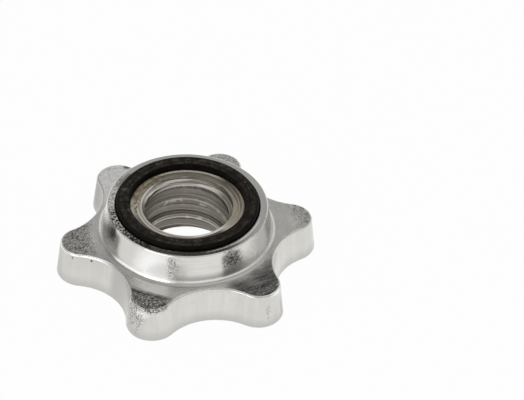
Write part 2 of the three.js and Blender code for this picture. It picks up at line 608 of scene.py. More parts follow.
@dataclass(frozen=True)
class Cloud:
    """Broad soft changes of tone and polish, between two levels of noise."""

    size: float
    colour: Colour
    roughness: float
    strength: float = 1.0
    start: float = 0.35
    full: float = 0.68

    def lay(self, surface: Surface) -> None:
        """Adds the clouds.

        Args:
            surface: The surface that takes the layer.
        """
        graph = surface.graph
        share = self.strength * graph.step(graph.speckle(surface.place, self.size), self.start, self.full)
        surface.tint(share, self.colour)
        surface.roughen(share, self.roughness)


@dataclass(frozen=True)
class StainAndPaintedLight:
    """A place of another tone and polish. It serves for real stains and wear, and also for painted highlights
    and painted shade.
    """

    where: Where
    colour: Colour
    roughness: float

    def lay(self, surface: Surface) -> None:
        """Adds the patch of tone and polish.

        Args:
            surface: The surface that takes the layer.
        """
        mask = self.where.mask(surface)
        surface.tint(mask, self.colour)
        surface.roughen(mask, self.roughness)


@dataclass(frozen=True)
class FilmAndPaintedShade:
    """A thin dull coat that isn't metal, such as dried oil or dirt. Dark ones also lay painted shade."""

    where: Where
    colour: Colour
    roughness: float = 0.5

    def lay(self, surface: Surface) -> None:
        """Adds the film.

        Args:
            surface: The surface that takes the layer.
        """
        mask = self.where.mask(surface)
        surface.tint(mask, self.colour)
        surface.roughen(mask, self.roughness)
        surface.cover(mask)


@dataclass(frozen=True)
class CastGrain:
    """The sandy skin of a casting, with small dark pits under the plating and painted highlights as glints on
    some grains.

    Pits and glints start at one level of noise and are full at another. The pits lie further
    apart than the grains, by a factor, and are a share of the relief deep.
    """

    where: Where
    size: float
    relief: float
    colour: Colour
    pits: float
    roughness: float
    glints: float = 0.0
    sand_detail: float = 3.0
    sand_rough: float = 0.65
    pit_spacing: float = 1.7
    pit_rough: float = 0.7
    pit_start: float = 0.56
    pit_full: float = 0.42
    pit_depth: float = 0.8
    glint_start: float = 0.56
    glint_full: float = 0.66

    def lay(self, surface: Surface) -> None:
        """Adds grain and pits where the casting was left rough.

        Args:
            surface: The surface that takes the layer.
        """
        graph = surface.graph
        mask = self.where.mask(surface)
        sand = graph.speckle(surface.place, self.size, self.sand_detail, self.sand_rough)
        holes = graph.speckle(surface.place, self.pit_spacing * self.size, rough=self.pit_rough)
        pit = graph.step(holes, self.pit_start, self.pit_full)
        # Painted highlight: the glints tint the brightest grains with the highlight colour.
        if self.glints:
            glint = graph.step(sand, self.glint_start, self.glint_full)
            surface.tint(mask * glint * self.glints, PAINTED_HIGHLIGHT)
        surface.tint(mask * pit * self.pits, self.colour)
        surface.roughen(mask, self.roughness)
        surface.raise_by(mask * (sand - self.pit_depth * pit) * self.relief)


@dataclass(frozen=True)
class ToolLines:
    """Fine lines left by a tool: how high their relief is, and how far they take on a colour."""

    where: Where
    relief: float
    colour: Colour
    tone: float

    def draw(self, surface: Surface, line: Socket) -> None:
        """Colours the low parts of a pattern of lines, and gives it relief.

        Args:
            surface: The surface that takes the lines.
            line: The pattern, from 0 to 1.
        """
        mask = self.where.mask(surface)
        surface.tint(mask * surface.graph.step(line, LINE_START, LINE_FULL) * self.tone, self.colour)
        surface.raise_by(mask * line * self.relief)


@dataclass(frozen=True)
class TurnedLines(ToolLines):
    """Fine rings left by the lathe tool, round the bore's axis.

    They change slowly on the way round, by a drift that is small beside the spacing.
    """

    spacing: float
    drift: float = 0.03

    def lay(self, surface: Surface) -> None:
        """Adds the rings.

        Args:
            surface: The surface that takes the layer.
        """
        graph = surface.graph
        outwards_or_up = surface.radius + surface.height
        place = graph.join(outwards_or_up, surface.x * self.drift, surface.y * self.drift)
        self.draw(surface, graph.speckle(place, self.spacing, rough=LINE_ROUGH))


@dataclass(frozen=True)
class GroundLines(ToolLines):
    """Upright lines left by the grinding belt along the nut's side."""

    width: float
    length: float

    def lay(self, surface: Surface) -> None:
        """Adds the lines.

        Args:
            surface: The surface that takes the layer.
        """
        graph = surface.graph
        drawn_out = graph.join(surface.x, surface.y, surface.height * (self.width / self.length))
        self.draw(surface, graph.speckle(drawn_out, self.width, rough=LINE_ROUGH))


@dataclass(frozen=True)
class Scratches(ToolLines):
    """Long fine marks on a flat face, all along one bearing."""

    bearing: float
    width: float
    length: float
    start: float = 0.52
    full: float = 0.40

    def lay(self, surface: Surface) -> None:
        """Adds the marks.

        Args:
            surface: The surface that takes the layer.
        """
        graph = surface.graph
        along = surface.towards(self.bearing) * (self.width / self.length)
        across = surface.towards(self.bearing + 90)
        line = graph.speckle(graph.join(along, across, 0.0), self.width, rough=LINE_ROUGH)
        mask = self.where.mask(surface) * graph.step(line, self.start, self.full)
        surface.tint(mask * self.tone, self.colour)
        surface.raise_by(mask * -self.relief)


@dataclass(frozen=True)
class Finish:
    """A surface finish: a bare colour and polish, and the layers over them."""

    name: str
    colour: Colour
    roughness: float
    layers: tuple[Layer, ...]
    metallic: float = 1.0
    specular: float = 0.5

    def material(self) -> bpy.types.Material:
        """Makes the finish's material.

        Returns:
            A material whose colour, roughness and relief come from the layers.
        """
        material, graph = empty_material(self.name)
        surface = Surface(graph, self.colour, self.roughness, self.metallic)
        for layer in self.layers:
            layer.lay(surface)
        normal = graph.node("ShaderNodeBump", {}, {"Distance": MM, "Height": surface.relief})
        looks = {
            "Base Color": opaque(surface.colour),
            "Roughness": surface.roughness,
            "Metallic": surface.metallic,
            "Specular IOR Level": self.specular,
            "Normal": normal,
        }
        shader = graph.node("ShaderNodeBsdfPrincipled", {}, looks)
        graph.node("ShaderNodeOutputMaterial", {}, {"Surface": shader})
        return material


BACK_FINISH = Finish("plated_back_face", PLATING, 0.28, (
    Cloud(9, DULL_PLATING, 0.36, strength=0.5),
    CastGrain(Everywhere(0.5), size=0.45, relief=0.02, colour=PIT, pits=0.5, roughness=0.35),
))
SIDE_FINISH = Finish("plated_ground_side", PLATING, 0.20, (
    Cloud(7, BRIGHT_PLATING, 0.24, strength=0.35),
    GroundLines(Everywhere(), width=2.6, length=200, relief=0.004, colour=DULL_PLATING, tone=0.16),
    GroundLines(Everywhere(), width=0.30, length=60, relief=0.0012, colour=DULL_PLATING, tone=0.08),
    StainAndPaintedLight(Sector(143, 13, fade=6), GREY_PLATING, 0.30),
    # Painted shade dims the top edge of the side between the back-left and left lobes.
    StainAndPaintedLight(Sector(150, 22, fade=8) & Upwards(10.0, 10.3, ragged=0.0), DIM_PLATING, 0.26),
    StainAndPaintedLight(Sector(184, 14, fade=8, strength=0.22), DULL_PLATING, 0.24),
    # Painted shade: the side is darker towards the floor.
    StainAndPaintedLight(Upwards(4.5, 0.5, strength=0.75), DULL_PLATING, 0.24),
    # Painted shade where the side turns away: at the ends of the left and front-right lobes, and in the
    # valley between the left and front lobes.
    StainAndPaintedLight(
        Spot((-36.8, 1.0, 5.5), (3.2, 6.0, 16.0), ragged=0.1)
        | Spot((20.9, -29.5, 5.0), (1.2, 1.6, 12.0), ragged=0.1)
        | Sector(218, 7, fade=6),
        DULL_PLATING, 0.26,
    ),
    # Painted highlight on the front lobe's side, below its top edge.
    StainAndPaintedLight(Spot((-19.6, -31.2, 9.0), (3.4, 2.8, 2.0)), PAINTED_HIGHLIGHT, 0.18),
    CastGrain(Spot((-20.5, -28.0, 8.0), (4.5, 6.5, 8.0), strength=0.9),
              size=0.28, relief=0.10, colour=BLACK_PLATING, pits=0.8, roughness=0.24, glints=0.7),
    CastGrain(Spot((-15.5, -32.0, 10.4), (6.5, 4.0, 1.4)),
              size=0.34, relief=0.10, colour=BLACK_PLATING, pits=0.9, roughness=0.20, glints=1.0),
    CastGrain(Spot((16.5, -32.7, 6.8), (1.2, 1.4, 4.5)),
              size=0.40, relief=0.05, colour=SMOKY_PLATING, pits=0.7, roughness=0.26),
    CastGrain(Upwards(9.4, 10.4, strength=0.2),
              size=0.40, relief=0.02, colour=SMOKY_PLATING, pits=0.6, roughness=0.28),
    StainAndPaintedLight(
        Spot((-27.5, -6.9, 10.3), (0.5, 1.1, 0.6))
        | Spot((-28.4, -7.6, 9.6), (0.4, 1.0, 0.45))
        | Spot((-33.4, -5.4, 9.6), (0.5, 0.9, 0.6), strength=0.8),
        PIT, 0.50,
    ),
    # Painted highlights along the top edges of the front-right and left lobes.
    StainAndPaintedLight(
        Spot((19.2, -30.2, 10.6), (3.2, 2.4, 1.3))
        | Sector(190, 8, fade=9, strength=0.8) & Upwards(10.15, 10.35, ragged=0.15),
        PAINTED_HIGHLIGHT, 0.15,
    ),
))
FACE_FINISH = Finish("plated_turned_face", PLATING, 0.24, (
    Cloud(6, DULL_PLATING, 0.30, strength=0.35),
    TurnedLines(Band(24, 28, fade=3), spacing=0.22, relief=0.004, colour=DULL_PLATING, tone=0.4),
    # Painted sheen over the back-left lobe's face.
    StainAndPaintedLight(lobe_end(BACK_LEFT_LOBE, 23, 28, strength=0.8), PAINTED_HIGHLIGHT, 0.30),
    StainAndPaintedLight(
        lobe_end(LEFT_LOBE, 24.5, 32, strength=0.55)
        | lobe_end(FRONT_LOBE, 28.5, 31, strength=0.85)
        | lobe_end(RIGHT_LOBE, 29.0, 34, strength=0.30)
        | lobe_end(BACK_RIGHT_LOBE, 30.0, 35, strength=0.25),
        SMOKY_PLATING, 0.32,
    ),
    # Dark cast skin on the front-right lobe, and partly painted shade laid over it.
    StainAndPaintedLight(lobe_end(FRONT_RIGHT_LOBE, 24.5, 28.5, strength=0.92), DARK_SKIN_AND_SHADE, 0.34),
    StainAndPaintedLight(Band(29.4, 30.2, fade=0.5) & Sector(FRONT_LOBE, LOBE_HALF_WIDTH, strength=0.55),
          BLACK_PLATING, 0.30),
    TurnedLines(
        Band(28.9, 30.7, fade=0.9) & Sector(FRONT_LOBE, LOBE_HALF_WIDTH)
        | lobe_end(FRONT_RIGHT_LOBE, 25.5, 28.5),
        spacing=0.34, relief=0.012, colour=PIT, tone=0.95,
    ),
    CastGrain(
        lobe_end(LEFT_LOBE, 25.0, 29.5)
        | lobe_end(RIGHT_LOBE, 28.0, 33, strength=0.8)
        | lobe_end(BACK_RIGHT_LOBE, 28.0, 33, strength=0.6)
        | lobe_end(BACK_LEFT_LOBE, 30.0, 35, strength=0.4),
        size=0.23, relief=0.085, colour=PIT, pits=1.0, roughness=0.27, glints=0.25,
    ),
    CastGrain(
        lobe_end(FRONT_LOBE, 29.4, 30.8) | lobe_end(FRONT_RIGHT_LOBE, 27.0, 31, strength=0.8),
        size=0.34, relief=0.15, colour=PIT, pits=1.0, roughness=0.22, glints=1.0,
    ),
    # Dark patch on the front-right lobe: partly cast skin, partly painted shade.
    StainAndPaintedLight(Spot((18.6, -23.8, 10.9), (4.5, 4.5, 2.0), strength=0.8, ragged=0.9), BLACK_PLATING, 0.30),
    # Painted shade on the plate in the left valley, outside the boss's foot.
    StainAndPaintedLight(Sector(209, 10, fade=9) & Outwards(24.5, 25.5, strength=0.95), DULL_PLATING, 0.28),
    # Painted reflection: the plate in the front valley is brighter.
    StainAndPaintedLight(Sector(268, 12, fade=9), BRIGHT_PLATING, 0.26),
    # Tones on the front-right lobe, partly painted shade: a lighter grey spot and two darker ones.
    StainAndPaintedLight(Spot((13.6, -25.6, 10.9), (2.8, 2.0, 1.5), strength=0.4), GREY_PLATING, 0.30),
    StainAndPaintedLight(Spot((15.4, -21.6, 10.9), (3.6, 2.2, 1.5), strength=0.8), SMOKY_PLATING, 0.30),
    StainAndPaintedLight(Spot((19.3, -19.2, 10.9), (2.8, 3.6, 1.5), strength=0.6), SMOKY_PLATING, 0.30),
    CastGrain(lobe_end(BACK_LEFT_LOBE, 25.0, 29.0, strength=0.4),
              size=0.5, relief=0.02, colour=GREY_PLATING, pits=0.7, roughness=0.28),
    # Painted shade on the far edge of the back-left lobe.
    StainAndPaintedLight(Spot((-11.2, 29.8, 10.8), (2.4, 1.2, 1.0)), DARK_SKIN_AND_SHADE, 0.30),
    Scratches(Everywhere(0.8), bearing=20, width=0.26, length=9, relief=0.01, colour=DULL_PLATING, tone=0.5),
))
BOSS_FINISH = Finish("plated_polished_boss", PLATING, 0.22, (
    Cloud(7, BRIGHT_PLATING, 0.17, strength=0.5),
    TurnedLines(Everywhere(), spacing=0.5, relief=0.003, colour=DULL_PLATING, tone=0.15),
    # Painted shade: the boss is darker at its foot all round, and in a band low on the front and the right.
    StainAndPaintedLight(Upwards(12.2, 11.2, strength=0.4), DULL_PLATING, 0.30),
    StainAndPaintedLight(Upwards(12.0, 12.5) & Upwards(14.6, 12.6) & Sector(280, 30, fade=20), GREY_PLATING, 0.26),
    # Painted highlight on the front left of the boss wall.
    StainAndPaintedLight(Spot((-13.6, -19.0, 13.5), (8.5, 7.5, 12.0), ragged=0.1), PAINTED_HIGHLIGHT, 0.22),
    StainAndPaintedLight(Spot((15.5, -17.5, 13.5), (9.0, 8.0, 7.5), ragged=0.1), PLATING, 0.44),
    # A second, rougher painted highlight low in the same place.
    StainAndPaintedLight(Spot((-12.0, -20.6, 13.2), (6.0, 5.0, 5.0), ragged=0.1), PAINTED_HIGHLIGHT, 0.46),
    # Painted shade low on the left of the boss wall.
    StainAndPaintedLight(Sector(195, 11, fade=10) & Upwards(13.0, 12.2, strength=0.8), DULL_PLATING, 0.34),
    # Painted shade at the bottom of the foot's fillet, on the front left and the front.
    StainAndPaintedLight(Sector(223, 23, fade=12) & Upwards(11.55, 11.3, ragged=0.1), GREY_PLATING, 0.30),
    StainAndPaintedLight(Sector(276, 30, fade=12, strength=0.8) & Upwards(11.5, 11.25, ragged=0.1), DULL_PLATING, 0.30),
    # Painted highlight along the foot's fillet on the front left.
    StainAndPaintedLight(
        Sector(225, 16, fade=9, strength=0.85) & Upwards(12.5, 12.1) & Upwards(11.3, 11.5, ragged=0.1),
        PAINTED_HIGHLIGHT, 0.26,
    ),
    # Painted shade: a dark line in the foot's fillet on the left.
    StainAndPaintedLight(
        Sector(191, 5, fade=8, strength=0.7)
        & Upwards(12.0, 11.6, ragged=0.1) & Upwards(11.1, 11.3, ragged=0.1),
        SMOKY_PLATING, 0.36,
    ),
    # Painted reflection: a dark streak down the left of the boss wall.
    StainAndPaintedLight(Spot((-23.4, -0.5, 15.5), (3.0, 5.5, 9.0), strength=0.9), GREY_PLATING, 0.30),
    # Painted shade beside the granular band on the front of the boss.
    StainAndPaintedLight(Spot((-6.4, -22.3, 14.0), (2.6, 2.4, 5.5), strength=0.45), GREY_PLATING, 0.30),
    CastGrain(Spot((-8.4, -21.3, 16.0), (2.4, 2.2, 7.5)),
              size=0.26, relief=0.07, colour=SMOKY_PLATING, pits=0.75, roughness=0.30, glints=0.3),
    # Painted reflection: a dark streak high on the left of the boss wall, in lines and blotches, softened
    # below by grey.
    GroundLines(Spot((-22.5, -4.5, 18.4), (2.8, 3.4, 4.8)),
                width=0.7, length=16, relief=0.01, colour=BLACK_PLATING, tone=0.95),
    StainAndPaintedLight(Spot((-22.8, -4.2, 18.2), (3.4, 4.4, 5.6)), SMOKY_PLATING, 0.28),
    StainAndPaintedLight(Spot((-22.0, -5.8, 18.0), (2.2, 2.5, 3.5), strength=0.9), BLACK_PLATING, 0.26),
    StainAndPaintedLight(Spot((-21.4, -8.2, 16.2), (1.4, 1.4, 4.0), strength=0.7), GREY_PLATING, 0.28),
    # Painted shade over the right of the boss wall.
    StainAndPaintedLight(Spot((18.5, -13.8, 16), (8.0, 9.0, 9.0), strength=0.9), GREY_PLATING, 0.30),
    StainAndPaintedLight(Spot((8.2, -21.4, 16.6), (4.4, 3.2, 4.4), strength=0.85), SMOKY_PLATING, 0.34),
    CastGrain(Spot((8.2, -21.4, 16.6), (4.4, 3.2, 4.4), strength=0.95),
              size=0.32, relief=0.07, colour=BLACK_PLATING, pits=1.0, roughness=0.28, glints=0.7),
))
RIM_FINISH = Finish("plated_rough_rim", PLATING, 0.24, (
    TurnedLines(Everywhere(), spacing=0.35, relief=0.008, colour=DULL_PLATING, tone=0.5),
    StainAndPaintedLight(Sector(255, 30, fade=22, strength=0.85), BROWN_FILM, 0.34),
    TurnedLines(Sector(262, 40, fade=25), spacing=0.30, relief=0.012, colour=BLACK_PLATING, tone=0.8),
    # Painted shade on the rim's near right.
    StainAndPaintedLight(Sector(335, 22, fade=15, strength=0.7), DULL_PLATING, 0.30),
    StainAndPaintedLight(Sector(85, 60, fade=30, strength=0.4), DULL_PLATING, 0.26),
    # Painted highlight: a thin bright line round the rim's land on the front right.
    StainAndPaintedLight(Sector(302, 22) & Band(20.75, 20.95, fade=0.1), PAINTED_HIGHLIGHT, 0.22),
    CastGrain(Sector(199, 27, fade=9),
              size=0.36, relief=0.15, colour=PIT, pits=1.0, roughness=0.22, glints=1.0),
    StainAndPaintedLight(Sector(160, 10, fade=8, strength=0.8), BRIGHT_PLATING, 0.36),
    CastGrain(Sector(158, 18, fade=10, strength=0.62),
              size=0.50, relief=0.06, colour=BLACK_PLATING, pits=0.9, roughness=0.26, glints=0.6),
    StainAndPaintedLight(Sector(139, 7, fade=5, strength=0.7) & Band(19.8, 21.0, fade=0.4), SMOKY_PLATING, 0.30),
    CastGrain(Sector(250, 30, fade=20, strength=0.6),
              size=0.36, relief=0.04, colour=PIT, pits=0.8, roughness=0.34),
))
# Dirt and painted shade in the groove: a black line between the ring and the rim.
GROOVE_FINISH = Finish("dirty_shaded_groove", SMOKY_PLATING, 0.45, (
    FilmAndPaintedShade(Everywhere(0.9), GROOVE_DIRT_AND_SHADE),
    Cloud(2, BROWN_FILM, 0.5, strength=0.5),
))
LIP_FINISH = Finish("filmed_lip", OLIVE_PLATING, 0.36, (
    TurnedLines(Everywhere(), spacing=0.30, relief=0.008, colour=BROWN_FILM, tone=0.5),
    FilmAndPaintedShade(Sector(200, 38, fade=25, strength=0.9), CREAM_FILM),
    FilmAndPaintedShade(Sector(262, 40, fade=25, strength=0.8), TAN_FILM),
    CastGrain(Sector(166, 14, fade=8) & Band(14.3, 15.2, fade=0.5),
              size=0.32, relief=0.05, colour=PIT, pits=1.0, roughness=0.42),
    FilmAndPaintedShade(Band(15.0, 15.6, strength=0.85), PALE_FILM),
    FilmAndPaintedShade(Sector(136, 17, fade=10, strength=0.9) & Band(13.6, 16.2), AMBER_FILM),
    TurnedLines(Sector(140, 26, fade=14) & Band(13.6, 16.2),
                spacing=0.5, relief=0.01, colour=STRAW_FILM, tone=0.7),
    CastGrain(Sector(140, 26, fade=14, strength=0.7),
              size=0.7, relief=0.04, colour=BROWN_FILM, pits=0.8, roughness=0.42),
    FilmAndPaintedShade(Sector(0, 30, fade=20) & Band(13.7, 16.2), UMBER_FILM),
    TurnedLines(Sector(320, 50, fade=25), spacing=0.36, relief=0.01, colour=SANDY_FILM, tone=0.7),
    # Painted shadow of the ring on the outer part of the lip, near left.
    FilmAndPaintedShade(Sector(240, 45, fade=22, strength=0.85) & Band(14.2, 16.2), PAINTED_RING_SHADOW),
    FilmAndPaintedShade(Sector(222, 34, fade=20, strength=0.8) & Band(13.6, 14.0), MILKY_FILM),
    # Painted shade on the lip's near side, under the ring's inner edge.
    FilmAndPaintedShade(Sector(270, 24, fade=14, strength=0.9) & Band(13.65, 16.2), PAINTED_LIP_SHADE),
    # Painted highlight on the inner edge of the lip, near side.
    StainAndPaintedLight(Sector(268, 28, fade=18) & Band(12.7, 13.5), PAINTED_LIP_HIGHLIGHT, 0.30),
    FilmAndPaintedShade(Sector(205, 50, fade=20, strength=0.7) & Band(13.0, 13.7), OLIVE_FILM),
    # Painted highlight along the inner edge of the lip, on the left.
    StainAndPaintedLight(Sector(180, 50, fade=20) & Band(12.75, 13.0), BRIGHT_PLATING, 0.22),
))
BORE_FINISH = Finish("cut_thread", THREAD_METAL, 0.34, (
    TurnedLines(Everywhere(), spacing=0.55, relief=0.020, colour=DUSKY_METAL, tone=0.85),
    TurnedLines(Everywhere(), spacing=1.1, relief=0.0, colour=WORN_METAL_AND_HIGHLIGHT, tone=0.45),
    StainAndPaintedLight(Outwards(11.78, 12.3, strength=0.75, ragged=0.15), ROOT_METAL, 0.46),
    StainAndPaintedLight(Outwards(12.0, 11.76, strength=0.8), CREST_METAL, 0.42),
    StainAndPaintedLight(Upwards(5.0, 4.2, strength=0.6), CREST_METAL, 0.44),
    StainAndPaintedLight(Upwards(14.6, 15.2, strength=0.6) & Upwards(16.7, 16.5), SHADED_METAL, 0.42),
    Cloud(3, DUSKY_METAL, 0.45, strength=0.4),
    StainAndPaintedLight(AlongThread(0.15, 0.29, strength=0.7), DUSKY_METAL, 0.42),
    FilmAndPaintedShade(AlongThread(0.80, 0.88, strength=0.5) & Upwards(13, 11), BROWN_FILM),
    FilmAndPaintedShade(AlongThread(0.66, 0.69, strength=0.6, fade=0.02) & Upwards(13, 11), BROWN_FILM),
    FilmAndPaintedShade(
        (AlongThread(0.25, 0.29, strength=0.8, fade=0.02, ragged=0.02)
         | AlongThread(0.13, 0.18, strength=0.85, fade=0.02, ragged=0.02))
        & Upwards(10, 9) & Upwards(5.2, 5.8),
        BROWN_FILM,
    ),
    # Wear and painted highlights: thin light lines along the edges of the thread.
    StainAndPaintedLight(AlongThread(0.92, 0.97, strength=0.45, ragged=0.015) & Upwards(10, 9), WORN_METAL_AND_HIGHLIGHT, 0.34),
    StainAndPaintedLight(AlongThread(0.12, 0.15, strength=0.55, ragged=0.015), WORN_METAL_AND_HIGHLIGHT, 0.30),
    StainAndPaintedLight(AlongThread(0.29, 0.32, strength=0.40, ragged=0.015), WORN_METAL_AND_HIGHLIGHT, 0.30),
    StainAndPaintedLight(Upwards(18.55, 18.75, strength=0.9), CHAMFER_METAL, 0.34),
    # Wear and painted highlights on the far side of the chamfer and of an upper crest, and round the top edge
    # of the bore.
    StainAndPaintedLight(Upwards(18.05, 18.2) & Upwards(18.7, 18.55) & Sector(85, 50, fade=35, strength=0.65),
          WORN_METAL_AND_HIGHLIGHT, 0.30),
    StainAndPaintedLight(Sector(100, 60, fade=20, strength=0.7) & Upwards(16.7, 16.9) & Upwards(17.6, 17.4),
          WORN_METAL_AND_HIGHLIGHT, 0.30),
    StainAndPaintedLight(Upwards(19.02, 19.08, strength=0.8, ragged=0.05), WORN_METAL_AND_HIGHLIGHT, 0.30),
))
RUBBER_FINISH = Finish("moulded_rubber", BLACK_RUBBER, 0.40, (
    StainAndPaintedLight(Band(16.5, 19.0, fade=0.4), RUBBED_DUST, 0.56),
    StainAndPaintedLight(Sector(345, 40, fade=25) & Band(16.1, 17.4, fade=0.8), BROWN_RUBBER, 0.56),
    Cloud(3.5, DUSTY_RUBBER, 0.60, strength=0.6),
    Cloud(1.8, DULL_RUBBER, 0.50, strength=0.75),
    TurnedLines(Everywhere(0.8), spacing=0.8, relief=0.02, colour=LINED_RUBBER, tone=0.75),
    CastGrain(Everywhere(0.8), size=0.5, relief=0.03, colour=GRAINY_RUBBER, pits=0.8, roughness=0.58),
    FilmAndPaintedShade(Spot((-16.4, 8.1, 21.1), (1.6, 1.0, 1.0), strength=0.5), DUST),
    FilmAndPaintedShade(Spot((-0.6, 15.6, 21.1), (0.9, 0.5, 1.0), strength=0.7), PALE_DUST),
), metallic=0.0, specular=0.07)


class Zone(Enum):
    """The worked surfaces of the nut, each with its finish and in the order of its material slots."""

    BACK = BACK_FINISH
    SIDE = SIDE_FINISH
    FACE = FACE_FINISH
    BOSS = BOSS_FINISH
    RIM = RIM_FINISH
    GROOVE = GROOVE_FINISH
    LIP = LIP_FINISH
    BORE = BORE_FINISH

    @property
    def slot(self) -> int:
        """The index of the zone's material on the nut."""
        return list(Zone).index(self)


@dataclass(frozen=True)
class Row:
    """One closed row of points round the nut, and the zone of the skin between it and the next.

    The skin there may wander inwards, as a casting does, by up to the distance given.
    """

    points: np.ndarray
    zone: Zone
    wander: float = 0.0


def round_corner(before: Vector, corner: Vector, after: Vector, radius: float, steps: int) -> list[Vector]:
    """Rounds the corner of a profile.

    Args:
        before: The point before the corner.
        corner: The sharp corner.
        after: The point after it.
        radius: The radius of the round.
        steps: How many stretches the arc has.

    Returns:
        The points of the arc, from the side of before to the side of after.
    """
    back = (before - corner).normalized()
    ahead = (after - corner).normalized()
    half_angle = math.acos(max(-1.0, min(1.0, back.dot(ahead)))) / 2
    centre = corner + (back + ahead).normalized() * (radius / math.sin(half_angle))
    tangent = radius / math.tan(half_angle)
    start = corner + back * tangent - centre
    end = corner + ahead * tangent - centre
    turn = math.atan2(start.x * end.y - start.y * end.x, start.dot(end))
    arc = []
    for step in range(steps + 1):
        arm = start.copy()
        arm.rotate(Matrix.Rotation(turn * step / steps, 2))
        arc.append(centre + arm)
    return arc


def even_points(start: Vector, end: Vector, steps: int) -> list[Vector]:
    """Points between two ends of a straight stretch, the ends left out."""
    return [start.lerp(end, step / steps) for step in range(1, steps)]


def band(low: int, high: int, count: int) -> list[tuple[int, int, int, int]]:
    """Faces between two closed rows of points.

    Args:
        low: Index of the first row's first point.
        high: Index of the second row's first point.
        count: How many points each row has.

    Returns:
        The faces, as indices of points.
    """
    faces = []
    for index in range(count):
        after = (index + 1) % count
        faces.append((low + index, low + after, high + after, high + index))
    return faces


def points_round(bearings: np.ndarray, radius: Length, height: Length) -> np.ndarray:
    """Points round the bore's axis.

    Args:
        bearings: The direction of each point, in radians.
        radius: How far they all are, or each is, from the axis.
        height: The height of all, or of each.

    Returns:
        Their places (x, y, z), one to a line.
    """
    heights = np.broadcast_to(height, bearings.shape)
    return np.column_stack([radius * np.cos(bearings), radius * np.sin(bearings), heights])


def made_object(
    name: str,
    points: Union[np.ndarray, list[Vector]],
    faces: list[tuple[int, ...]],
    materials: list[bpy.types.Material],
    slots: Optional[list[int]] = None,
    wander: Optional[list[float]] = None,
) -> bpy.types.Object:
    """Makes an object from points and faces.

    Args:
        name: The piece's name.
        points: Its points, some of which may coincide and are merged.
        faces: Its faces, as indices of points.
        materials: Its materials.
        slots: The material slot of each face, or nothing for the first slot.
        wander: How far each point may be drawn in later, or nothing.

    Returns:
        The object, with smooth faces that stay sharp at its edges.
    """
    mesh = bpy.data.meshes.new(name)
    mesh.from_pydata([tuple(point) for point in points], [], faces)
    for material in materials:
        mesh.materials.append(material)
    if slots is not None:
        mesh.polygons.foreach_set("material_index", slots)
    if wander is not None:
        mesh.attributes.new(WANDER, "FLOAT", "POINT").data.foreach_set("value", wander)
    shape = bmesh.new()
    shape.from_mesh(mesh)
    bmesh.ops.remove_doubles(shape, verts=shape.verts, dist=MERGE_DISTANCE)
    bmesh.ops.recalc_face_normals(shape, faces=shape.faces)
    shape.to_mesh(mesh)
    shape.free()
    mesh.polygons.foreach_set("use_smooth", [True] * len(mesh.polygons))
    mesh.set_sharp_from_angle(angle=math.radians(SHARP_DEGREES))
    return linked_object(name, mesh)


@dataclass
class RubberRing:
    """The face ring that is pressed into the boss's groove."""

    inner_radius: float
    outer_radius: float
    floor: float
    top: float
    outer_round: float = 0.8 * MM
    inner_round: float = 0.35 * MM

    # How far its top sinks in at most, and how long the waves are
    unevenness: float = 0.04 * MM
    unevenness_length: float = 9 * MM

    # How many stretches the mesh has, once round and in its section
    steps: int = 360
    round_steps: int = 8
    face_steps: int = 12

    name: str = "face_ring"

    @classmethod
    def from_frame(cls, width: float) -> "RubberRing":
        """Reads the ring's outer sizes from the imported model.

        Args:
            width: How wide the ring's section is.

        Returns:
            The ring's sizes.
        """
        low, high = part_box("rubber_ring")
        return cls(high.x - width, high.x, low.z, high.z)

    def section(self) -> list[Vector]:
        """The ring's section.

        Returns:
            Its points (radius, height), once round from the foot of the outer wall.
        """
        outer_foot = Vector((self.outer_radius, self.floor))
        outer_edge = Vector((self.outer_radius, self.top))
        inner_edge = Vector((self.inner_radius, self.top))
        inner_foot = Vector((self.inner_radius, self.floor))
        outside = round_corner(outer_foot, outer_edge, inner_edge, self.outer_round, self.round_steps)
        inside = round_corner(outer_edge, inner_edge, inner_foot, self.inner_round, self.round_steps)
        return [
            outer_foot,
            *even_points(outer_foot, outside[0], self.round_steps),
            *outside,
            *even_points(outside[-1], inside[0], self.face_steps),
            *inside,
            *even_points(inside[-1], inner_foot, self.round_steps),
            inner_foot,
            *even_points(inner_foot, outer_foot, self.round_steps),
        ]

    def build(self) -> bpy.types.Object:
        """Turns the section round the bore's axis, with the slight unevenness of moulded rubber.

        Returns:
            The ring's object.
        """
        section = self.section()
        points = []
        for bearing in np.linspace(0, 2 * math.pi, self.steps, endpoint=False):
            for spot in section:
                point = Vector((spot.x * math.cos(bearing), spot.x * math.sin(bearing), spot.y))
                if spot.y > self.top - self.outer_round:
                    share = (1 + noise.noise(point / self.unevenness_length)) / 2
                    point.z -= self.unevenness * share
                points.append(point)
        count = len(section)
        faces = []
        for step in range(self.steps):
            faces += band(step * count, (step + 1) % self.steps * count, count)
        return made_object(self.name, points, faces, [RUBBER_FINISH.material()])

    def dress(self, piece: bpy.types.Object) -> None:
        """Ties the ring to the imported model.

        Args:
            piece: The ring's object.
        """
        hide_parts("rubber_ring")
        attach(piece, ROOT)


